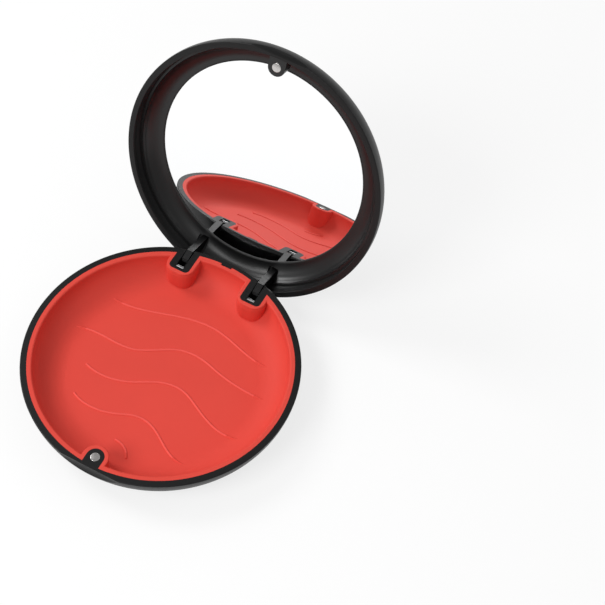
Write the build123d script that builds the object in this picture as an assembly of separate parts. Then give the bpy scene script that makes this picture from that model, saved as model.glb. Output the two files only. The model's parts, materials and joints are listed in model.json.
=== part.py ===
"""Round denture case: a base with a silicone liner and a mirrored lid on two
gooseneck hinge arms, held shut by a pair of magnets.

Millimetres, +Z up.  Z = 0 is the flat underside of the base and the case is
centred on the Z axis; the finger nick faces -Y and the hinge is at +Y.  The
lid is drawn shut over the base and swung open about the hinge at the end.
"""
from build123d import *
from math import asin, cos, degrees, radians, sin, sqrt
import os

os.makedirs("parts", exist_ok=True)

# --- Outside of the closed case ---
case_radius = 41.3
rim_height = 10.6
rim_gap = 0.35
widest_above_rim = 1.4
case_height = 22.2
base_flat_radius = 33.0
base_floor_radius = 32.0
lid_flank_width = 9.8
base_wall = 2.0
lid_wall = 1.9
base_floor = 1.4
lid_roof = 1.8
rim_round = 0.25

# --- Finger nick scooped across the parting line ---
nick_radius = 4.0
nick_depth = 1.25
nick_drop = 0.9

# --- Feet ---
foot_radius = 2.5
foot_thickness = 1.0
foot_proud = 0.5
foot_inset = 6.8
foot_round = 0.25

# --- Liner ---
liner_lip = 1.6
liner_lip_round = 0.6
liner_floor = 1.2
liner_floor_radius = 28.6
liner_skin = 1.3
skin_round = 0.4
skin_corner = 3.6
skin_draft = 14.0
boss_skin_draft = 3.0
ridge_width = 0.9
ridge_proud = 0.35
ridge_sink = 0.3

# --- Hinge ---
pivot_inset = 4.7
pivot_drop = 2.6
opening_angle = 110.1
arm_x = 12.4
arm_width = 2.0
arm_front_reach = 3.2
slot_side_gap = 0.3
hub_radius = 1.4
pin_radius = 0.5
pin_running_fit = 0.05
pin_inner_x = 9.9
pin_outer_x = 14.4
housing_width = 6.8
housing_inset = 10.9
housing_corner = 1.4
housing_draft = 8.0
slot_reach = 5.3
slot_floor_drop = 6.0
slot_lead_drop = 1.6
slot_toe_reach = 3.6
slot_sill_drop = 4.9
cross_pin_reach = 4.5
cross_pin_drop = 0.85
cross_pin_grip = 1.0

# --- Swing relief round the hinge ---
skirt = 0.8
swing_gap = 0.31
relief_reach = 18.8
relief_margin = 0.07

# --- Catch ---
catch_inset = 4.8
catch_radius = 2.65
magnet_radius = 1.4
magnet_length = 2.0
catch_gap = 0.5
catch_tab_thickness = 4.0

# --- Rear stop tab on the rim ---
tab_width = 3.4
tab_reach = 0.55
tab_thickness = 1.0
tab_round = 0.5
tab_side_gap = 0.1

# --- Mirror and its frame ---
frame_drop = 3.4
frame_edge_wall = 1.0
frame_wall = 1.2
frame_backing = 0.9
bezel_width = 8.1
bezel_edge = 0.3
mirror_seat = 0.8
mirror_thickness = 1.2
mirror_edge_gap = 0.15
pad_inset = 5.0
pad_thickness = 0.6
arm_pocket_gap = 0.8
arm_pocket_corner = 0.7

# How far a cutting shape runs past what it cuts.
overrun = 1.0

widest_height = rim_height + widest_above_rim
base_flank_width = case_radius - base_flat_radius
lid_flat_radius = case_radius - lid_flank_width
rim_inner_radius = case_radius - base_wall
lid_inner_radius = case_radius - lid_wall
pivot_y = case_radius - pivot_inset
pivot_z = rim_height - pivot_drop
arm_front_y = pivot_y - arm_front_reach
housing_front_y = case_radius - housing_inset
catch_y = catch_inset - case_radius
foot_circle = base_flat_radius - foot_inset
housing_height = rim_height - base_floor
lid_rim_height = rim_height + rim_gap
hinge_axis = Axis((0, pivot_y, pivot_z), (1, 0, 0))
side_plane = Plane(origin=(0, 0, 0), x_dir=(0, 1, 0), z_dir=(1, 0, 0))


def turned(*edges):
    """Solid of revolution about Z of a closed (radius, height) outline."""
    return revolve(Plane.XZ * make_face(edges), Axis.Z)


def side_plate(outline, x_centre, width):
    """Plate of the given width cut to a (y, z) outline, centred on x_centre."""
    return Pos(x_centre, 0, 0) * extrude(side_plane * outline, amount=width / 2, both=True)


def x_rod(radius, x_from, x_to, y, z):
    """Round rod lying along X."""
    middle = (x_from + x_to) / 2
    return Pos(middle, y, z) * Rot(0, 90, 0) * Cylinder(radius, x_to - x_from)


def pair(make):
    """The same piece made for the left and the right side."""
    return {"left": make(-1), "right": make(1)}


# --- Envelopes ---------------------------------------------------------
# Each flank is a quarter ellipse that starts at a flat and stands upright at
# the widest height.
lid_flank_height = case_height - widest_height


def lower_flank(height_from, height_to):
    start = degrees(asin((height_from - widest_height) / widest_height))
    end = degrees(asin((height_to - widest_height) / widest_height))
    return EllipticalCenterArc(
        (base_flat_radius, widest_height), base_flank_width, widest_height,
        start_angle=start, arc_size=end - start)


base_flank = lower_flank(0, rim_height)
cavity_flank = EllipticalCenterArc(
    (base_floor_radius, rim_height), rim_inner_radius - base_floor_radius, housing_height,
    start_angle=-90, arc_size=90)
base_cavity = turned(
    Line((0, base_floor), cavity_flank @ 0),
    cavity_flank,
    Line(cavity_flank @ 1, (0, rim_height)),
    Line((0, rim_height), (0, base_floor)))
base_envelope = turned(
    Line((0, 0), base_flank @ 0),
    base_flank,
    Line(base_flank @ 1, (0, rim_height)),
    Line((0, rim_height), (0, 0)))
base_rim_edge = base_envelope.edges().filter_by(GeomType.CIRCLE).sort_by(Axis.Z)[-1]
base_envelope = fillet(base_rim_edge, rim_round)

lid_brow = lower_flank(lid_rim_height, widest_height)
lid_flank = EllipticalCenterArc(
    (lid_flat_radius, widest_height), lid_flank_width, lid_flank_height,
    start_angle=0, arc_size=90)
lid_envelope = turned(
    Line((0, lid_rim_height), lid_brow @ 0),
    lid_brow,
    lid_flank,
    Line(lid_flank @ 1, (0, case_height)),
    Line((0, case_height), (0, lid_rim_height)))
lid_rim_edge = lid_envelope.edges().filter_by(GeomType.CIRCLE).sort_by(Axis.Z)[0]
lid_envelope = fillet(lid_rim_edge, rim_round)
lid_inner_flank = EllipticalCenterArc(
    (lid_flat_radius, widest_height), lid_flank_width - lid_wall, lid_flank_height - lid_roof,
    start_angle=0, arc_size=90)
lid_cavity = turned(
    Line((0, rim_height), (lid_inner_radius, rim_height)),
    Line((lid_inner_radius, rim_height), lid_inner_flank @ 0),
    lid_inner_flank,
    Line(lid_inner_flank @ 1, (0, case_height - lid_roof)),
    Line((0, case_height - lid_roof), (0, rim_height)))

nick = x_rod(nick_radius, -case_radius, case_radius,
             nick_depth - case_radius - nick_radius, rim_height - nick_drop)


# --- Swing relief ------------------------------------------------------
# Behind the hinge line the lid swings down past the base.  Both are cut to
# surfaces turned about the hinge line, so that a thin skirt of the lid wraps
# the base's rear edge at every angle, and the base's flank is scooped where
# the rim of the open lid comes to rest.
def relief_radius(x):
    skirt_y = sqrt((case_radius - skirt) ** 2 - x ** 2)
    return sqrt(max(skirt_y - pivot_y, 0) ** 2 + (pivot_drop + rim_gap) ** 2) + relief_margin


def relief(clearance):
    """Spindle about the hinge line, kept inside the lid's skirt."""
    stations = [relief_reach * k / 8 for k in range(-8, 9)]
    crown = Spline([(x, relief_radius(x) - clearance) for x in stations])
    plane = Plane(origin=(0, pivot_y, pivot_z), x_dir=(1, 0, 0), z_dir=(0, -1, 0))
    outline = make_face([
        Line((-relief_reach, 0), (relief_reach, 0)),
        Line((relief_reach, 0), crown @ 1),
        crown,
        Line(crown @ 0, (-relief_reach, 0))])
    return revolve(plane * outline, hinge_axis)


rear_edge = Pos(0, pivot_y, pivot_z) * Box(
    2 * relief_reach, 2 * case_radius, 2 * case_radius,
    align=(Align.CENTER, Align.MIN, Align.MIN))
open_rim_side = Pos(0, 0, lid_rim_height - swing_gap) * Box(
    2 * relief_reach, 4 * case_radius, case_radius,
    align=(Align.CENTER, Align.CENTER, Align.MIN))
open_rim_side = open_rim_side.rotate(hinge_axis, -opening_angle)
base_relief = rear_edge + open_rim_side - relief(swing_gap)
lid_relief = relief(0)


# --- Hinge housings, slots and pins ------------------------------------
def column(outline, x, y, draft):
    """Outline drawn at the rim and carried down to the floor with a draft."""
    return Pos(x, y, rim_height) * extrude(outline, amount=-housing_height, taper=draft)


def housing(side, grow=0.0, corner=housing_corner, draft=housing_draft):
    """Round-cornered block that carries one arm, open to the rear wall."""
    depth = case_radius - housing_front_y + base_wall
    outline = RectangleRounded(housing_width + 2 * grow, 2 * depth, corner)
    return column(outline, side * arm_x, housing_front_y - grow + depth, draft)


slot_outline = make_face(Polyline(
    (pivot_y - slot_reach, rim_height + overrun),
    (pivot_y - slot_reach, rim_height - slot_lead_drop),
    (pivot_y - slot_toe_reach, rim_height - slot_floor_drop),
    (pivot_y - hub_radius, rim_height - slot_floor_drop),
    (pivot_y, rim_height - slot_sill_drop),
    (case_radius + overrun, rim_height - slot_sill_drop),
    (case_radius + overrun, rim_height + overrun),
    close=True))


def slot(side):
    return side_plate(slot_outline, side * arm_x, arm_width + 2 * slot_side_gap)


def pivot_pin(side):
    ends = sorted((side * pin_inner_x, side * pin_outer_x))
    return x_rod(pin_radius, *ends, pivot_y, pivot_z)


def cross_pin(side):
    half = arm_width / 2 + slot_side_gap + cross_pin_grip
    return x_rod(pin_radius, side * arm_x - half, side * arm_x + half,
                 pivot_y - cross_pin_reach, rim_height - cross_pin_drop)


pivot_pins = pair(pivot_pin)
cross_pins = pair(cross_pin)

# --- Feet --------------------------------------------------------------
foot_angles = {"front_left": 225, "front_right": 315, "rear_right": 45, "rear_left": 135}


def foot(angle):
    pad = Cylinder(foot_radius, foot_thickness, align=(Align.CENTER, Align.CENTER, Align.MIN))
    sole = pad.faces().sort_by(Axis.Z)[0]
    pad = fillet(sole.edges(), foot_round)
    x = foot_circle * cos(radians(angle))
    y = foot_circle * sin(radians(angle))
    return Pos(x, y, -foot_proud) * pad


feet = {name: foot(angle) for name, angle in foot_angles.items()}

# --- Catch magnets -----------------------------------------------------
base_magnet = Pos(0, catch_y, rim_height) * Cylinder(
    magnet_radius, magnet_length, align=(Align.CENTER, Align.CENTER, Align.MAX))
lid_magnet = Pos(0, catch_y, rim_height + catch_gap) * Cylinder(
    magnet_radius, magnet_length, align=(Align.CENTER, Align.CENTER, Align.MIN))

# --- Base shell --------------------------------------------------------
def catch_outline(radius):
    """Round nose that runs straight out to the wall."""
    return Circle(radius) + Rectangle(
        2 * radius, case_radius + catch_y, align=(Align.CENTER, Align.MAX))


def boss(grow=0.0, draft=0.0):
    """Post of the catch, grown out of the base's front wall."""
    return column(catch_outline(catch_radius + grow), 0, catch_y, draft)


rear_tab = Pos(0, rim_inner_radius - tab_reach, rim_height) * Box(
    tab_width, tab_reach + base_wall / 2, tab_thickness,
    align=(Align.CENTER, Align.MIN, Align.MAX))
rear_tab = fillet(rear_tab.edges().filter_by(Axis.Z).sort_by(Axis.Y)[:2], tab_round)

base_shell = base_envelope - base_cavity
base_shell += (boss() + rear_tab + housing(-1) + housing(1)) & base_envelope
for side in (-1, 1):
    base_shell -= slot(side)
for pin in (*pivot_pins.values(), *cross_pins.values()):
    base_shell -= pin
for pad in feet.values():
    base_shell -= pad
base_shell -= base_magnet
base_shell -= nick
base_shell -= base_relief


# --- Base liner --------------------------------------------------------
liner_top_radius = rim_inner_radius - liner_lip
liner_floor_height = base_floor + liner_floor
lip_bend_height = rim_height - liner_lip_round
bowl_flank = EllipticalCenterArc(
    (liner_floor_radius, lip_bend_height), liner_top_radius - liner_floor_radius,
    lip_bend_height - liner_floor_height, start_angle=-90, arc_size=90)
lip_bend = CenterArc(
    (liner_top_radius + liner_lip_round, lip_bend_height), liner_lip_round, 180, -90)
bowl = turned(
    Line((0, liner_floor_height), bowl_flank @ 0),
    bowl_flank,
    lip_bend,
    Line(lip_bend @ 1, (0, rim_height)),
    Line((0, rim_height), (0, liner_floor_height)))


def wave(*points):
    """Thin raised ridge that runs across the floor through the given points."""
    path = Spline(points)
    profile = Plane(origin=path @ 0, z_dir=path % 0) * Ellipse(
        ridge_width / 2, ridge_proud + ridge_sink)
    return Pos(0, 0, liner_floor_height - ridge_sink) * sweep(profile, path=path)


waves = [
    wave((-27.7, 16.2), (-20.2, 16.1), (-10.4, 18.7), (-0.3, 21.4), (6.7, 21.6),
         (16.8, 19.0), (26.6, 17.6)),
    wave((-31.0, 1.7), (-21.2, 2.8), (-12.0, 3.2), (-5.9, 6.3), (0.7, 9.9),
         (7.3, 10.4), (14.6, 8.6), (23.0, 7.2), (31.0, 7.1)),
    wave((-21.4, -8.1), (-12.6, -8.8), (-6.3, -6.8), (0.8, -2.9), (7.8, -1.9),
         (14.3, -4.6), (20.6, -7.6), (30.5, -8.2)),
    wave((-19.2, -18.3), (-11.4, -19.8), (-5.1, -18.4), (1.2, -16.0), (6.2, -16.6),
         (12.0, -20.0), (23.0, -22.6)),
    wave((-0.6, -25.6), (2.6, -26.3), (5.4, -29.4)),
]


def skin(post):
    """Liner's cover round a post, softened at its upper edge."""
    top = post.faces().sort_by(Axis.Z)[-1]
    return fillet(top.edges(), skin_round)


base_liner = base_cavity - bowl
for post in (boss(liner_skin, boss_skin_draft),
             housing(-1, liner_skin, skin_corner, skin_draft),
             housing(1, liner_skin, skin_corner, skin_draft)):
    base_liner += skin(post) & base_cavity
for ridge in waves:
    base_liner += ridge & base_cavity
for post in (boss(), housing(-1), housing(1)):
    base_liner -= post
base_liner -= Pos(0, rim_inner_radius - tab_reach - tab_side_gap, rim_height) * Box(
    tab_width + 2 * tab_side_gap, 2 * base_wall, 2 * tab_thickness,
    align=(Align.CENTER, Align.MIN, Align.CENTER))

# --- Lid shell ---------------------------------------------------------
lid_shell = lid_envelope - lid_cavity - nick - lid_relief

# --- Mirror, its adhesive pad and its frame ----------------------------
mirror_opening = case_radius - bezel_width
mirror_radius = mirror_opening + mirror_seat
frame_edge_radius = lid_inner_radius - frame_edge_wall
roof_inside = case_height - lid_roof
mirror_pad = Pos(0, 0, roof_inside) * Cylinder(
    mirror_radius - pad_inset, pad_thickness, align=(Align.CENTER, Align.CENTER, Align.MAX))
mirror_face = roof_inside - pad_thickness - mirror_thickness
mirror = Pos(0, 0, mirror_face) * Cylinder(
    mirror_radius, mirror_thickness, align=(Align.CENTER, Align.CENTER, Align.MIN))

frame_edge = lid_rim_height + frame_drop
bezel_height = mirror_face - bezel_edge - frame_edge
frame_face = EllipticalCenterArc(
    (mirror_opening, frame_edge), frame_edge_radius - mirror_opening, bezel_height,
    start_angle=0, arc_size=90)
frame_back_height = bezel_height + bezel_edge + frame_backing
frame_back = EllipticalCenterArc(
    (mirror_opening, frame_edge), frame_edge_radius + frame_wall - mirror_opening,
    frame_back_height, start_angle=0, arc_size=90)
frame_bowl = turned(
    Line((0, frame_edge), frame_back @ 0),
    frame_back,
    Line(frame_back @ 1, (0, frame_edge + frame_back_height)),
    Line((0, frame_edge + frame_back_height), (0, frame_edge)))
frame_cavity = turned(
    Line((0, frame_edge), frame_face @ 0),
    frame_face,
    Line(frame_face @ 1, (0, frame_edge + bezel_height)),
    Line((0, frame_edge + bezel_height), (0, frame_edge)))
catch_tab = Pos(0, catch_y, rim_height + catch_gap) * extrude(
    catch_outline(catch_radius), amount=catch_tab_thickness)
mirror_frame = (frame_bowl & lid_cavity) - frame_cavity
mirror_frame += catch_tab & lid_cavity
mirror_frame -= Pos(0, 0, frame_edge + bezel_height) * Cylinder(
    mirror_opening, case_height, align=(Align.CENTER, Align.CENTER, Align.MIN))
mirror_frame -= Pos(0, 0, mirror_face) * Cylinder(
    mirror_radius + mirror_edge_gap, case_height, align=(Align.CENTER, Align.CENTER, Align.MIN))
mirror_frame -= lid_magnet
mirror_frame -= lid_relief

# --- Hinge arms --------------------------------------------------------
# The arm's bend round the pin, as (y, z) steps from the pin's centre.
arm_bend = [(-3.5, 0.4), (-1.8, -2.3), (-0.9, -2.5), (1.3, -0.5), (1.1, 3.0), (0.3, 5.6)]
arm_outline = make_face(Polyline(
    (arm_front_y, case_height),
    *[(pivot_y + y, pivot_z + z) for y, z in arm_bend],
    (pivot_y + arm_bend[-1][0], case_height),
    close=True))
arm_below = Pos(0, 0, rim_height) * Box(
    3 * case_radius, 3 * case_radius, rim_height, align=(Align.CENTER, Align.CENTER, Align.MAX))
arm_room = lid_cavity + arm_below


def hinge_arm(side):
    plate = side_plate(arm_outline, side * arm_x, arm_width) & arm_room
    hub = x_rod(hub_radius, side * arm_x - arm_width / 2, side * arm_x + arm_width / 2,
                pivot_y, pivot_z)
    bore = x_rod(pin_radius + pin_running_fit, side * arm_x - arm_width,
                 side * arm_x + arm_width, pivot_y, pivot_z)
    return plate + hub - bore


hinge_arms = pair(hinge_arm)


def arm_pocket(side):
    """Round-cornered notch that lets an arm pass the frame's wall."""
    depth = case_radius - arm_front_y + arm_pocket_gap
    outline = RectangleRounded(arm_width + 2 * arm_pocket_gap, 2 * depth, arm_pocket_corner)
    notch = extrude(outline, amount=case_height - rim_height)
    return Pos(side * arm_x, case_radius, rim_height) * notch


for side in (-1, 1):
    mirror_frame -= arm_pocket(side)

# --- Swing the lid open and write every piece --------------------------
lid_pieces = {
    "lid_shell": lid_shell,
    "mirror_frame": mirror_frame,
    "mirror": mirror,
    "mirror_pad": mirror_pad,
    "lid_magnet": lid_magnet,
}
lid_pieces.update({f"hinge_arm_{side}": arm for side, arm in hinge_arms.items()})
pieces = {name: piece.rotate(hinge_axis, -opening_angle) for name, piece in lid_pieces.items()}
pieces.update({
    "base_shell": base_shell,
    "base_liner": base_liner,
    "base_magnet": base_magnet,
})
pieces.update({f"pivot_pin_{side}": pin for side, pin in pivot_pins.items()})
pieces.update({f"cross_pin_{side}": pin for side, pin in cross_pins.items()})
pieces.update({f"foot_{place}": pad for place, pad in feet.items()})
for name, piece in pieces.items():
    export_step(piece, f"parts/{name}.step")
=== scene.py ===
"""Round denture case with a red silicone liner and a mirrored lid, shown open."""

import json
import math

import bmesh
import bpy
from mathutils import Matrix, Vector


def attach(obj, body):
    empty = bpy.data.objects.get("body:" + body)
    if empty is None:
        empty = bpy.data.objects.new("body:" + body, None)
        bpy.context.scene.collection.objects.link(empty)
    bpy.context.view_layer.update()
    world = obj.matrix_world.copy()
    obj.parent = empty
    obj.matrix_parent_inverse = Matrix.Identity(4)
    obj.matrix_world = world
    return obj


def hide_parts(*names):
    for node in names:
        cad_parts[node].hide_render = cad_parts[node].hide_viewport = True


bl_info = {
    "name": "Denture Case",
    "version": (1, 0, 0),
    "blender": (4, 5, 0),
    "location": "3D View > Sidebar > Denture Case",
    "description": "Builds the shells, liner, mirror and hinge of a round denture case",
    "category": "Add Mesh",
}

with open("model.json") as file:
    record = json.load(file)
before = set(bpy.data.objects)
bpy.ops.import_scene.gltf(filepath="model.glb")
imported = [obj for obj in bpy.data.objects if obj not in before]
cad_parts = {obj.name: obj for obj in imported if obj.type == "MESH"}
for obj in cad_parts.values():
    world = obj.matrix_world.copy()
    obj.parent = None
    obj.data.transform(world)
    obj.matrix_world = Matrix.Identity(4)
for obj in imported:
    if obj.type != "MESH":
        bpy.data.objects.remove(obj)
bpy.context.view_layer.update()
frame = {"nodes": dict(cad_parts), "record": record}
HINGE = frame["record"]["behaviour"]["joints"][0]
MM = 0.001


# ---------------------------------------------------------------------------
# Settings
# ---------------------------------------------------------------------------
def length(name, description, default_mm):
    return bpy.props.FloatProperty(
        name=name, description=description, default=default_mm * MM,
        unit="LENGTH", subtype="DISTANCE", precision=5)


def colour(name, description, default):
    return bpy.props.FloatVectorProperty(
        name=name, description=description, default=default, size=3,
        subtype="COLOR", min=0.0, max=1.0)


class CaseShape(bpy.types.PropertyGroup):
    """Sizes of the moulded shells"""
    case_radius: length("Case radius", "Widest radius of the closed case", 41.3)
    widest_height: length("Widest height", "Height at which the case is widest", 12.0)
    rim_height: length("Rim height", "Height of the base's rim", 10.6)
    rim_gap: length("Rim gap", "Gap between the two rims when shut", 0.35)
    case_height: length("Case height", "Height of the closed case", 22.2)
    base_flat_radius: length("Base flat", "Radius of the flat underside", 33.0)
    lid_flat_radius: length("Lid flat", "Radius of the lid's flat top", 31.5)
    shell_wall: length("Shell wall", "Wall of the shells at the rim", 1.9)
    lid_roof: length("Lid roof", "Thickness of the lid's top", 1.8)
    rim_round: length("Rim rounding", "Rounding of the rim's edges", 0.25)
    nick_radius: length("Nick radius", "Radius of the finger nick", 4.0)
    nick_depth: length("Nick depth", "Depth of the finger nick", 1.25)
    nick_height: length("Nick height", "Height of the finger nick's middle", 9.7)
    liner_top: length("Liner top", "Height of the liner's floor", 2.6)
    liner_reach: length("Liner reach", "Radius of the liner's flat floor", 28.4)


class HingeShape(bpy.types.PropertyGroup):
    """Opening of the hinge and the relief round it"""
    opening: bpy.props.FloatProperty(
        name="Opening", description="Angle between the shut and the shown lid",
        default=math.radians(110.1), unit="ROTATION", subtype="ANGLE")
    skirt: length("Skirt", "Wall left behind the hinge on the lid", 0.8)
    relief_reach: length("Relief reach", "Half the length of the swing relief", 18.8)
    arm_x: length("Arm spacing", "Half the distance between the two arms", 12.4)
    pocket_half: length("Pocket half width", "Half the room for a housing in its cup", 2.9)
    pocket_front: length("Pocket front", "Front of the room for a housing", 31.0)
    cup_rear: length("Cup rear", "Radius at which a cup ends in the liner's wall", 38.5)


class MirrorShape(bpy.types.PropertyGroup):
    """Sizes of the mirror and of the catch"""
    catch_y: length("Catch place", "Place of the magnets along Y", -36.5)
    magnet_radius: length("Magnet radius", "Radius of a magnet", 1.4)
    magnet_length: length("Magnet length", "Length of a magnet", 2.0)
    catch_gap: length("Catch gap", "Gap between the magnets when shut", 0.5)
    radius: length("Mirror radius", "Radius of the mirror glass", 34.0)
    thickness: length("Mirror thickness", "Thickness of the mirror glass", 1.2)
    # Painted shade: the black ring round the mirror is a matte black piece standing in for the
    # shaded gap at the mirror's edge.
    shade_ring_width: length("Shade ring width", "Width of the black seal round the mirror", 0.35)
    shade_ring_height: length("Shade ring height", "Height of the seal above the mirror", 0.36)
    opening: length("Mirror opening", "Radius of the opening in the frame", 33.2)
    pad_thickness: length("Pad thickness", "Thickness of the pad behind the mirror", 0.6)


class CaseColours(bpy.types.PropertyGroup):
    """Colours of the finishes"""
    shell: colour("Shell", "Black plastic of the shells", (0.0038, 0.0038, 0.0040))
    frame: colour("Frame", "Black plastic of the mirror frame", (0.0046, 0.0046, 0.0048))
    liner: colour("Liner", "Red silicone", (0.715, 0.066, 0.047))
    nickel: colour("Nickel", "Plating of the magnets", (0.60, 0.585, 0.57))
    # Painted shade: the steel is darker than bare steel, so that the pins read dim where they sit
    # in shadow in their slots.
    steel: colour("Steel", "Steel of the pins", (0.30, 0.30, 0.305))
    silver: colour("Silver", "Silvering of the mirror", (0.975, 0.98, 0.985))
    rubber: colour("Rubber", "Rubber of the feet", (0.016, 0.016, 0.016))
    floor: colour("Floor", "Floor under the case", (0.97, 0.97, 0.97))


# ---------------------------------------------------------------------------
# Meshes
# ---------------------------------------------------------------------------
SEGMENTS = 256
WELD = 1e-7
RELIEF_MARGIN = 0.07 * MM
MIRROR_EDGE = 0.15 * MM
# Rounding and tuck of the matte black ring that stands in for the shaded gap round the mirror
# (painted shade).
SHADE_RING_ROUND = 0.15 * MM
SHADE_RING_TUCK = 0.06 * MM
MAGNET_EDGE = 0.12 * MM


def ellipse_arc(centre, radii, start, end, steps):
    """Points of an elliptic arc in the (radius, height) plane, angles in degrees."""
    angles = [math.radians(start + (end - start) * k / steps) for k in range(steps + 1)]
    return [(centre[0] + radii[0] * math.cos(a), centre[1] + radii[1] * math.sin(a))
            for a in angles]


def lathe(profile, segments=SEGMENTS):
    """Closed (radius, height) profile spun round Z; returns a bmesh."""
    bm = bmesh.new()
    verts = [bm.verts.new((r, 0, z)) for r, z in profile]
    edges = [bm.edges.new((a, b)) for a, b in zip(verts, verts[1:] + verts[:1])
             if not (abs(a.co.x) < 1e-9 and abs(b.co.x) < 1e-9)]
    bmesh.ops.spin(bm, geom=verts + edges, cent=(0, 0, 0), axis=(0, 0, 1),
                   angle=2 * math.pi, steps=segments, use_merge=True)
    bmesh.ops.remove_doubles(bm, verts=bm.verts, dist=WELD)
    bmesh.ops.recalc_face_normals(bm, faces=bm.faces)
    return bm


def rod(radius, depth, matrix, segments=48, edge=0.0):
    """Cylinder along the matrix's Z with softened ends; returns a bmesh."""
    bm = bmesh.new()
    bmesh.ops.create_cone(bm, cap_ends=True, segments=segments, radius1=radius,
                          radius2=radius, depth=depth)
    if edge:
        rims = [e for e in bm.edges if len({round(v.co.z, 7) for v in e.verts}) == 1]
        bmesh.ops.bevel(bm, geom=rims, offset=edge, offset_type="OFFSET", segments=3,
                        profile=0.5, affect="EDGES", material=-1)
    bmesh.ops.transform(bm, matrix=matrix, verts=bm.verts)
    return bm


def to_object(bm, name):
    """Turns a bmesh into an object of the scene."""
    mesh = bpy.data.meshes.new(name)
    bm.to_mesh(mesh)
    bm.free()
    piece = bpy.data.objects.new(name, mesh)
    bpy.context.scene.collection.objects.link(piece)
    return piece


def cut(piece, bm):
    """Cuts a bmesh out of a piece with an exact boolean."""
    tool = to_object(bm, "tool")
    boolean = piece.modifiers.new("boolean", "BOOLEAN")
    boolean.object = tool
    boolean.operation = "DIFFERENCE"
    boolean.solver = "EXACT"
    graph = bpy.context.evaluated_depsgraph_get()
    mesh = bpy.data.meshes.new_from_object(piece.evaluated_get(graph))
    piece.modifiers.clear()
    old = piece.data
    piece.data = mesh
    bpy.data.meshes.remove(old)
    bpy.data.objects.remove(tool)


def smooth(piece, angle=35.0):
    """Smooth shading with edges kept sharp past the given angle in degrees."""
    bm = bmesh.new()
    bm.from_mesh(piece.data)
    bmesh.ops.remove_doubles(bm, verts=bm.verts, dist=2e-6)
    limit = math.radians(angle)
    for face in bm.faces:
        face.smooth = True
    for edge in bm.edges:
        edge.smooth = len(edge.link_faces) == 2 and edge.calc_face_angle(0.0) < limit
    bm.to_mesh(piece.data)
    bm.free()


def hinge_swing(opening):
    """Matrix that swings a shut lid piece open about the hinge."""
    pivot = Vector(HINGE["pos_m"])
    return (Matrix.Translation(pivot) @ Matrix.Rotation(-opening, 4, "X")
            @ Matrix.Translation(-pivot))


def finish_piece(piece, body, material, nodes=(), opening=None, angle=35.0):
    """Shades a piece, swings it open if it belongs to the lid, and hangs it on its body."""
    if opening is not None:
        piece.data.transform(hinge_swing(opening))
    smooth(piece, angle)
    piece.data.materials.clear()
    piece.data.materials.append(material)
    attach(piece, body)
    if nodes:
        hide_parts(*nodes)
    return piece


def flank(shape, upper, start, end, steps=24):
    """Outer flank of the lid or of the base between two ellipse angles in degrees."""
    flat = shape.lid_flat_radius if upper else shape.base_flat_radius
    rise = shape.case_height - shape.widest_height if upper else shape.widest_height
    return ellipse_arc((flat, shape.widest_height), (shape.case_radius - flat, rise),
                       start, end, steps)


def flank_angle(shape, height):
    """Ellipse angle in degrees at which the base's flank reaches a height."""
    return math.degrees(math.asin((height - shape.widest_height) / shape.widest_height))


def rounded(points, radius, steps=4):
    """Profile with the corners of nonzero radius turned into small arcs."""
    result = []
    count = len(points)
    for index, (point, bend) in enumerate(zip(points, radius)):
        if not bend:
            result.append(point)
            continue
        here = Vector(point)
        before = Vector(points[index - 1])
        after = Vector(points[(index + 1) % count])
        a = here + (before - here).normalized() * bend
        b = here + (after - here).normalized() * bend
        for k in range(steps + 1):
            t = k / steps
            result.append(tuple(a * (1 - t) ** 2 + here * (2 * t * (1 - t)) + b * t ** 2))
    return result


def relief(shape, hinge):
    """Spindle about the hinge line that the lid's skirt wraps; returns a bmesh."""
    pivot = Vector(HINGE["pos_m"])
    drop = shape.rim_height - pivot.z + shape.rim_gap
    bm = bmesh.new()
    steps = 48
    reach = hinge.relief_reach
    verts = []
    for k in range(steps + 1):
        x = reach * (2 * k / steps - 1)
        skirt_y = math.sqrt((shape.case_radius - hinge.skirt) ** 2 - x ** 2)
        radius = math.hypot(max(skirt_y - pivot.y, 0), drop) + RELIEF_MARGIN
        verts.append(bm.verts.new((x, 0, radius)))
    verts.insert(0, bm.verts.new((-reach, 0, 0)))
    verts.append(bm.verts.new((reach, 0, 0)))
    edges = [bm.edges.new(ends) for ends in zip(verts, verts[1:])]
    bmesh.ops.spin(bm, geom=verts + edges, cent=(0, 0, 0), axis=(1, 0, 0),
                   angle=2 * math.pi, steps=128, use_merge=True)
    bmesh.ops.remove_doubles(bm, verts=bm.verts, dist=WELD)
    bmesh.ops.recalc_face_normals(bm, faces=bm.faces)
    bmesh.ops.translate(bm, verts=bm.verts, vec=pivot)
    return bm


# Height, half width, front and corner radius of a hinge cup, in millimetres.
CUP_SECTIONS = (
    (2.4, 3.85, 29.55, 3.1),
    (2.9, 4.20, 29.20, 3.3),
    (3.6, 4.45, 29.02, 3.5),
    (5.0, 4.62, 28.95, 3.6),
    (7.5, 4.72, 28.95, 3.7),
    (9.0, 4.74, 29.02, 3.7),
    (9.6, 4.66, 29.14, 3.6),
    (9.95, 4.48, 29.32, 3.4),
)


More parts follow.
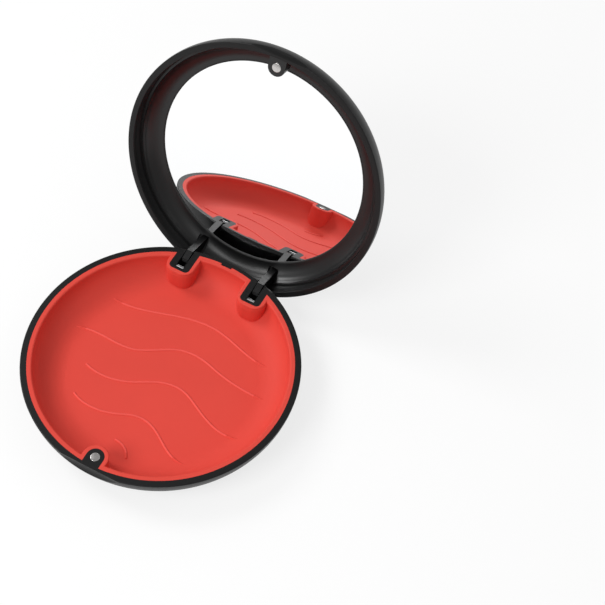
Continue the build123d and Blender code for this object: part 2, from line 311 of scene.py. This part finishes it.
def cup(hinge, side):
    """Silicone cup round one hinge housing, with straight sides; returns a bmesh."""
    bm = bmesh.new()
    for height, half, front, corner in CUP_SECTIONS:
        points = []
        for turn in (1, -1):
            centre = (turn * (half - corner), front + corner)
            quarter = [(centre[0] + turn * corner * math.cos(math.radians(a)),
                        centre[1] - corner * math.sin(math.radians(a)))
                       for a in range(0, 91, 9)]
            points += quarter if turn == 1 else quarter[::-1]
        x = side * hinge.arm_x / MM
        rear = [(end, math.sqrt((hinge.cup_rear / MM) ** 2 - (x + end) ** 2))
                for end in (-half, half)]
        ring = [bm.verts.new(((x + px) * MM, py * MM, height * MM))
                for px, py in (*points, *rear)]
        for ends in zip(ring, ring[1:] + ring[:1]):
            bm.edges.new(ends)
    bmesh.ops.bridge_loops(bm, edges=bm.edges)
    bmesh.ops.holes_fill(bm, edges=[edge for edge in bm.edges if edge.is_boundary])
    bmesh.ops.recalc_face_normals(bm, faces=bm.faces)
    return bm


def cup_pocket(shape, hinge, side):
    """Room for the housing inside its cup; returns a bmesh."""
    bm = bmesh.new()
    bmesh.ops.create_cube(bm, size=1.0)
    depth = shape.case_radius - hinge.pocket_front
    bmesh.ops.scale(bm, vec=(2 * hinge.pocket_half, depth, shape.case_height), verts=bm.verts)
    bmesh.ops.translate(bm, verts=bm.verts, vec=(
        side * hinge.arm_x, hinge.pocket_front + depth / 2, 0))
    return bm


def nick_tool(shape):
    """Long rod that scoops the finger nick; returns a bmesh."""
    y = shape.nick_depth - shape.case_radius - shape.nick_radius
    lie = Matrix.Translation((0, y, shape.nick_height)) @ Matrix.Rotation(math.pi / 2, 4, "Y")
    return rod(shape.nick_radius, 2 * shape.case_radius, lie, segments=160)


# ---------------------------------------------------------------------------
# Materials
# ---------------------------------------------------------------------------
class Value:
    """A shader socket that can be used in a Python expression."""

    def __init__(self, sheet, socket):
        self.sheet = sheet
        self.socket = socket

    def part(self, axis):
        """X, Y or Z of a vector."""
        return self.sheet.node("ShaderNodeSeparateXYZ", {}, {"Vector": self}, out=axis)

    def _math(self, operation, *values):
        return self.sheet.node("ShaderNodeMath", {"operation": operation},
                               dict(enumerate(values)))

    def __add__(self, other):
        return self._math("ADD", self, other)

    __radd__ = __add__

    def __sub__(self, other):
        return self._math("SUBTRACT", self, other)

    def __rsub__(self, other):
        return self._math("SUBTRACT", other, self)

    def __mul__(self, other):
        return self._math("MULTIPLY", self, other)

    __rmul__ = __mul__

    def clamped(self):
        return self.sheet.node("ShaderNodeClamp", {}, {"Value": self})


class Sheet:
    """Node sheet of one material, with a Principled shader at its end."""

    def __init__(self, name):
        self.material = bpy.data.materials.new(name)
        self.material.use_nodes = True
        self.tree = self.material.node_tree
        self.tree.nodes.clear()
        self.output = self.tree.nodes.new("ShaderNodeOutputMaterial")

    def node(self, kind, settings=None, inputs=None, out=0):
        """Adds a node: its settings first, then the values or links of its sockets."""
        made = self.tree.nodes.new(kind)
        for key, value in (settings or {}).items():
            if key == "stops":
                ramp = made.color_ramp
                while len(ramp.elements) < len(value):
                    ramp.elements.new(0.5)
                for element, (place, shade) in zip(ramp.elements, value):
                    element.position = place
                    element.color = (*shade, 1.0) if len(shade) == 3 else shade
            else:
                setattr(made, key, value)
        for key, value in (inputs or {}).items():
            socket = made.inputs[key]
            if isinstance(value, Value):
                self.tree.links.new(value.socket, socket)
            elif hasattr(socket.default_value, "__len__") and len(value) == 3 and len(
                    socket.default_value) == 4:
                socket.default_value = (*value, 1.0)
            else:
                socket.default_value = value
        return Value(self, made.outputs[out])

    def place(self, scale=(1, 1, 1), shift=(0, 0, 0), turn=(0, 0, 0)):
        """Object coordinates, scaled and shifted for one pattern."""
        here = self.node("ShaderNodeTexCoord", out="Object")
        return self.node("ShaderNodeMapping", {}, {
            "Vector": here, "Scale": scale, "Location": shift, "Rotation": turn})

    def noise(self, scale, detail=2.0, roughness=0.5, place=None):
        return self.node("ShaderNodeTexNoise", {}, {
            "Vector": place or self.place(), "Scale": scale, "Detail": detail,
            "Roughness": roughness})

    def mix(self, factor, a, b):
        """Colour between a and b."""
        return self.node("ShaderNodeMix", {"data_type": "RGBA"},
                         {0: factor, 6: a, 7: b}, out=2)

    def bump(self, height, strength, distance):
        return self.node("ShaderNodeBump", {}, {
            "Height": height, "Strength": strength, "Distance": distance})

    def principled(self, **inputs):
        shader = self.node("ShaderNodeBsdfPrincipled", {}, {
            key.replace("_", " "): value for key, value in inputs.items()})
        self.tree.links.new(shader.socket, self.output.inputs["Surface"])
        return self.material


def scaled(shade, factor):
    return tuple(min(1.0, c * factor) for c in shade)


def black_plastic(name, shade, rough, shine, grain):
    """Satin plastic: spark-eroded grain, faint wear in the gloss."""
    sheet = Sheet(name)
    cloud = sheet.noise(60, 3)
    fine = sheet.noise(4200, 2)
    tone = sheet.mix(cloud, scaled(shade, 0.86), scaled(shade, 1.14))
    gloss = rough + 0.10 * (cloud - 0.5) + 0.06 * (fine - 0.5)
    return sheet.principled(
        Base_Color=tone, Roughness=gloss, IOR=1.5, Specular_IOR_Level=shine,
        Normal=sheet.bump(fine, grain, 0.00004))


# Painted highlight: the ridges on the liner's floor turn paler, as if lit, from this height above
# the floor, over a short rise, and as far out as the flat floor reaches.
CREST_START = 0.06 * MM
CREST_STEEPNESS = 9000.0
FLOOR_EDGE_STEEPNESS = 60000.0
PAINTED_CREST_HIGHLIGHT = 0.95


def red_silicone(shade, floor_height, floor_radius):
    """Soft silicone: slight cloudiness, a dry surface and a painted highlight that makes the
    crests of the floor's ridges paler.
    """
    sheet = Sheet("red silicone")
    here = sheet.node("ShaderNodeTexCoord", out="Object")
    x, y, z = (here.part(axis) for axis in "XYZ")
    above = ((z - (floor_height + CREST_START)) * CREST_STEEPNESS).clamped()
    within = ((floor_radius ** 2 - (x * x + y * y)) * FLOOR_EDGE_STEEPNESS).clamped()
    cloud = sheet.noise(45, 3)
    fine = sheet.noise(2600, 3, 0.6)
    tone = sheet.mix(cloud, scaled(shade, 0.94), scaled(shade, 1.05))
    # Painted highlight: a paler colour on the ridges' crests, where light would catch them.
    pale = tuple(1.12 * c + 0.03 for c in shade)
    tone = sheet.mix(PAINTED_CREST_HIGHLIGHT * (above * within), tone, pale)
    return sheet.principled(
        Base_Color=tone, Roughness=0.60 + 0.10 * (cloud - 0.5), IOR=1.41,
        Specular_IOR_Level=0.25,
        Normal=sheet.bump(fine, 0.10, 0.00005))


def brushed_metal(name, shade, rough, stretch):
    """Plated or ground metal with fine lines along the stretch."""
    sheet = Sheet(name)
    lines = sheet.noise(900, 2, 0.6, sheet.place(scale=stretch))
    tone = sheet.mix(lines, scaled(shade, 0.9), scaled(shade, 1.06))
    return sheet.principled(
        Base_Color=tone, Metallic=1.0, Roughness=rough + 0.12 * (lines - 0.5),
        Normal=sheet.bump(lines, 0.12, 0.00003))


def silvered_glass(shade):
    """Mirror: near-perfect silvering with the faintest bloom of handling."""
    sheet = Sheet("silvered mirror")
    bloom = sheet.noise(38, 4, 0.6)
    tone = sheet.mix(bloom, scaled(shade, 0.985), shade)
    return sheet.principled(
        Base_Color=tone, Metallic=1.0, Roughness=(0.035 * (bloom - 0.35)).clamped() + 0.004)


def soft_rubber(name, shade):
    """Dull rubber or foam with an open, pitted surface."""
    sheet = Sheet(name)
    pits = sheet.noise(1500, 3, 0.7)
    tone = sheet.mix(pits, scaled(shade, 0.8), scaled(shade, 1.3))
    return sheet.principled(
        Base_Color=tone, Roughness=0.72 + 0.12 * (pits - 0.5),
        Normal=sheet.bump(pits, 0.3, 0.00006))


def finish_of(name):
    """The named finish, made the first time it is asked for."""
    made = bpy.data.materials.get(name)
    if made:
        return made
    shades = bpy.context.scene.case_colours
    shape = bpy.context.scene.case_shape
    makers = {
        "shell plastic": lambda: black_plastic(name, shades.shell, 0.42, 0.32, 0.12),
        "frame plastic": lambda: black_plastic(name, shades.frame, 0.33, 0.5, 0.06),
        "red silicone": lambda: red_silicone(shades.liner, shape.liner_top, shape.liner_reach),
        "nickel plate": lambda: brushed_metal(name, shades.nickel, 0.26, (1, 1, 4)),
        "ground steel": lambda: brushed_metal(name, shades.steel, 0.38, (1, 6, 6)),
        "silvered mirror": lambda: silvered_glass(shades.silver),
        "foot rubber": lambda: soft_rubber(name, shades.rubber),
        "pad foam": lambda: soft_rubber(name, scaled(shades.rubber, 2.0)),
    }
    return makers[name]()


def repaint(node, finish):
    """Gives a CAD node that is shown as it is its finish."""
    piece = frame["nodes"][node]
    piece.data.materials.clear()
    piece.data.materials.append(finish_of(finish))


# ---------------------------------------------------------------------------
# Operators
# ---------------------------------------------------------------------------
class CASE_OT_base_shell(bpy.types.Operator):
    """Finish the base shell"""
    bl_idname = "case.base_shell"
    bl_label = "Base Shell"

    def execute(self, context):
        repaint("base_shell", "shell plastic")
        return {"FINISHED"}


class CASE_OT_liner(bpy.types.Operator):
    """Finish the silicone liner and build the cups round the hinge housings"""
    bl_idname = "case.liner"
    bl_label = "Silicone Liner"

    def execute(self, context):
        repaint("base_liner", "red silicone")
        shape = context.scene.case_shape
        hinge = context.scene.case_hinge
        for name, side in (("left", -1), ("right", 1)):
            piece = to_object(cup(hinge, side), f"liner_cup_{name}_piece")
            cut(piece, cup_pocket(shape, hinge, side))
            finish_piece(piece, "base", finish_of("red silicone"))
        return {"FINISHED"}


class CASE_OT_lid_shell(bpy.types.Operator):
    """Build the lid shell with its half of the finger nick"""
    bl_idname = "case.lid_shell"
    bl_label = "Lid Shell"

    def execute(self, context):
        shape = context.scene.case_shape
        hinge = context.scene.case_hinge
        bottom = shape.rim_height + shape.rim_gap
        brow = flank(shape, False, flank_angle(shape, bottom), 0, 2)
        crown = flank(shape, True, 0, 90, 36)
        inner_radius = shape.case_radius - shape.shell_wall
        roof = shape.case_height - shape.lid_roof
        inside = ellipse_arc((shape.lid_flat_radius, shape.widest_height),
                             (inner_radius - shape.lid_flat_radius, roof - shape.widest_height),
                             90, 0, 20)
        profile = [*brow, *crown[1:], (0, shape.case_height), (0, roof), *inside,
                   (inner_radius, bottom)]
        bends = [0.0] * len(profile)
        bends[0] = shape.rim_round
        bends[-1] = shape.rim_round / 2
        shell = to_object(lathe(rounded(profile, bends)), "lid_shell_piece")
        cut(shell, nick_tool(shape))
        cut(shell, relief(shape, hinge))
        finish_piece(shell, "lid", finish_of("shell plastic"), ["lid_shell"],
                     hinge.opening)
        return {"FINISHED"}


class CASE_OT_mirror_frame(bpy.types.Operator):
    """Finish the mirror frame"""
    bl_idname = "case.mirror_frame"
    bl_label = "Mirror Frame"

    def execute(self, context):
        repaint("mirror_frame", "frame plastic")
        return {"FINISHED"}


class CASE_OT_mirror(bpy.types.Operator):
    """Build the mirror glass and a black ring round it, and finish the pad behind it"""
    bl_idname = "case.mirror"
    bl_label = "Mirror"

    def execute(self, context):
        shape = context.scene.case_shape
        hinge = context.scene.case_hinge
        mirror = context.scene.case_mirror
        middle = (shape.case_height - shape.lid_roof - mirror.pad_thickness
                  - mirror.thickness / 2)
        glass = rod(mirror.radius, mirror.thickness, Matrix.Translation((0, 0, middle)),
                    segments=SEGMENTS, edge=MIRROR_EDGE)
        finish_piece(to_object(glass, "mirror_piece"), "lid", finish_of("silvered mirror"),
                     ["mirror"], hinge.opening, angle=12.0)
        # Painted shade: a matte black ring round the mirror's edge stands in for the shaded gap
        # between mirror and frame.
        face = middle - mirror.thickness / 2
        inner = mirror.opening - mirror.shade_ring_width
        outer = mirror.opening + SHADE_RING_TUCK
        low = face - mirror.shade_ring_height
        shade_ring = lathe(rounded([(inner, face), (inner, low), (outer, low), (outer, face)],
                             [0.0, SHADE_RING_ROUND, 0.0, 0.0]))
        finish_piece(to_object(shade_ring, "mirror_shade_ring_piece"), "lid", finish_of("foot rubber"),
                     opening=hinge.opening)
        repaint("mirror_pad", "pad foam")
        return {"FINISHED"}


class CASE_OT_hinge(bpy.types.Operator):
    """Finish the hinge arms and the steel pins"""
    bl_idname = "case.hinge"
    bl_label = "Hinge"

    def execute(self, context):
        for side in ("left", "right"):
            repaint(f"hinge_arm_{side}", "shell plastic")
            repaint(f"pivot_pin_{side}", "ground steel")
            repaint(f"cross_pin_{side}", "ground steel")
        return {"FINISHED"}


class CASE_OT_magnets(bpy.types.Operator):
    """Build the two catch magnets"""
    bl_idname = "case.magnets"
    bl_label = "Magnets"

    def execute(self, context):
        shape = context.scene.case_shape
        hinge = context.scene.case_hinge
        catch = context.scene.case_mirror
        low = shape.rim_height - catch.magnet_length / 2
        high = shape.rim_height + catch.catch_gap + catch.magnet_length / 2
        for body, height, opening in (("base", low, None), ("lid", high, hinge.opening)):
            disc = rod(catch.magnet_radius, catch.magnet_length,
                       Matrix.Translation((0, catch.catch_y, height)), 64, MAGNET_EDGE)
            finish_piece(to_object(disc, f"{body}_magnet_piece"), body,
                         finish_of("nickel plate"), [f"{body}_magnet"], opening)
        return {"FINISHED"}


class CASE_OT_feet(bpy.types.Operator):
    """Finish the four rubber feet"""
    bl_idname = "case.feet"
    bl_label = "Feet"

    def execute(self, context):
        for place in ("front_left", "front_right", "rear_left", "rear_right"):
            repaint(f"foot_{place}", "foot rubber")
        return {"FINISHED"}


# Floor: its half width in metres, how far it lies below the base, and its glow.
FLOOR_HALF_WIDTH = 3.0
FOOT_PROUD = 0.5 * MM
FLOOR_GLOW = 0.75

# Lights: the room's strength, then each lamp's name, place and side in metres and power.
ROOM_STRENGTH = 0.385
LAMPS = (
    ("side", (-0.58, 0.04, 0.56), 0.30, 2.5),
    ("front", (-0.26, -0.50, 0.57), 0.36, 3.1),
    ("fill", (0.50, 0.34, 0.50), 0.60, 0.7),
)
LAMP_AIM = (0, 0.02, 0.02)

# Camera, worked out for a 605 by 605 frame: angles in degrees, distance in millimetres.
IMAGE_SIDE = 605
CAMERA_AZIMUTH = 21.73
CAMERA_ELEVATION = 56.20
CAMERA_ROLL = 6.91
PIXELS_PER_MM = 3.4004
CAMERA_DISTANCE = 416.7
RIM_CENTRE_PX = (161.69, 360.25)


class CASE_OT_stage(bpy.types.Operator):
    """Set up the floor, the lights and the camera"""
    bl_idname = "case.stage"
    bl_label = "Stage"

    def execute(self, context):
        scene = context.scene
        self.make_floor(scene)
        self.make_lights(scene)
        self.make_camera(scene)
        scene.view_settings.view_transform = "Standard"
        return {"FINISHED"}

    def make_floor(self, scene):
        bm = bmesh.new()
        bmesh.ops.create_grid(bm, x_segments=1, y_segments=1, size=FLOOR_HALF_WIDTH)
        bmesh.ops.translate(bm, verts=bm.verts, vec=(0, 0, -FOOT_PROUD))
        floor = to_object(bm, "floor")
        sheet = Sheet("pale floor")
        ray = sheet.node("ShaderNodeLightPath", out="Is Camera Ray")
        glossy = sheet.node("ShaderNodeLightPath", out="Is Glossy Ray")
        matte = sheet.node("ShaderNodeBsdfDiffuse", {}, {"Color": tuple(scene.case_colours.floor)})
        glow = sheet.node("ShaderNodeEmission", {}, {"Color": (1, 1, 1), "Strength": 1.0})
        seen = sheet.node("ShaderNodeMixShader", {}, {
            0: FLOOR_GLOW * (ray + glossy).clamped(), 1: matte, 2: glow})
        sheet.tree.links.new(seen.socket, sheet.output.inputs["Surface"])
        floor.data.materials.append(sheet.material)

    def make_lights(self, scene):
        world = bpy.data.worlds.new("studio")
        scene.world = world
        world.use_nodes = True
        tree = world.node_tree
        tree.nodes.clear()
        path = tree.nodes.new("ShaderNodeLightPath")
        add = tree.nodes.new("ShaderNodeMath")
        add.operation = "ADD"
        add.use_clamp = True
        tree.links.new(path.outputs["Is Camera Ray"], add.inputs[0])
        tree.links.new(path.outputs["Is Transmission Ray"], add.inputs[1])
        mix = tree.nodes.new("ShaderNodeMixShader")
        out = tree.nodes.new("ShaderNodeOutputWorld")
        tree.links.new(add.outputs[0], mix.inputs[0])
        for socket, strength in ((1, ROOM_STRENGTH), (2, 1.0)):
            background = tree.nodes.new("ShaderNodeBackground")
            background.inputs["Color"].default_value = (1, 1, 1, 1)
            background.inputs["Strength"].default_value = strength
            tree.links.new(background.outputs[0], mix.inputs[socket])
        tree.links.new(mix.outputs[0], out.inputs["Surface"])
        for name, place, side, power in LAMPS:
            lamp = bpy.data.lights.new(name, "AREA")
            lamp.size = side
            lamp.energy = power
            light = bpy.data.objects.new(name, lamp)
            light.location = place
            aim = Vector(LAMP_AIM) - light.location
            light.rotation_euler = aim.to_track_quat("-Z", "Y").to_euler()
            scene.collection.objects.link(light)

    def make_camera(self, scene):
        azimuth = math.radians(CAMERA_AZIMUTH)
        elevation = math.radians(CAMERA_ELEVATION)
        roll = math.radians(CAMERA_ROLL)
        forward = Vector((-math.sin(azimuth) * math.cos(elevation),
                          math.cos(azimuth) * math.cos(elevation), -math.sin(elevation)))
        level = Vector((math.cos(azimuth), math.sin(azimuth), 0))
        upward = level.cross(forward)
        right = level * math.cos(roll) + upward * math.sin(roll)
        up = upward * math.cos(roll) - level * math.sin(roll)
        focal_px = PIXELS_PER_MM * CAMERA_DISTANCE
        distance = CAMERA_DISTANCE * MM
        across = (RIM_CENTRE_PX[0] - IMAGE_SIDE / 2) / focal_px * distance
        above = -(RIM_CENTRE_PX[1] - IMAGE_SIDE / 2) / focal_px * distance
        target = Vector((0, 0, scene.case_shape.rim_height))
        place = target - right * across - up * above - forward * distance
        data = bpy.data.cameras.new("camera")
        data.sensor_width = 36.0
        data.lens = 36.0 * focal_px / IMAGE_SIDE
        data.clip_start = 0.01
        data.clip_end = 20.0
        camera = bpy.data.objects.new("camera", data)
        basis = Matrix((right, up, -forward)).transposed()
        camera.matrix_world = Matrix.Translation(place) @ basis.to_4x4()
        scene.collection.objects.link(camera)
        scene.camera = camera


class CASE_PT_panel(bpy.types.Panel):
    """Sidebar panel that lists the pieces of the case"""
    bl_idname = "CASE_PT_panel"
    bl_label = "Denture Case"
    bl_space_type = "VIEW_3D"
    bl_region_type = "UI"
    bl_category = "Denture Case"

    def draw(self, context):
        layout = self.layout
        for operator in OPERATORS:
            layout.operator(operator.bl_idname)
        for group in (context.scene.case_shape, context.scene.case_hinge,
                      context.scene.case_mirror,
                      context.scene.case_colours):
            box = layout.box()
            for name in group.__annotations__:
                box.prop(group, name)


GROUPS = {
    "case_shape": CaseShape,
    "case_hinge": HingeShape,
    "case_mirror": MirrorShape,
    "case_colours": CaseColours,
}
OPERATORS = (
    CASE_OT_base_shell, CASE_OT_liner, CASE_OT_lid_shell, CASE_OT_mirror_frame,
    CASE_OT_mirror, CASE_OT_hinge, CASE_OT_magnets, CASE_OT_feet, CASE_OT_stage,
)


def register():
    for cls in (*GROUPS.values(), *OPERATORS, CASE_PT_panel):
        bpy.utils.register_class(cls)
    for name, group in GROUPS.items():
        setattr(bpy.types.Scene, name, bpy.props.PointerProperty(type=group))


def unregister():
    for name in GROUPS:
        delattr(bpy.types.Scene, name)
    for cls in (CASE_PT_panel, *reversed(OPERATORS), *reversed(GROUPS.values())):
        bpy.utils.unregister_class(cls)


def main():
    register()
    for operator in OPERATORS:
        getattr(bpy.ops.case, operator.bl_idname.split(".")[1])()


if __name__ == "__main__":
    main()
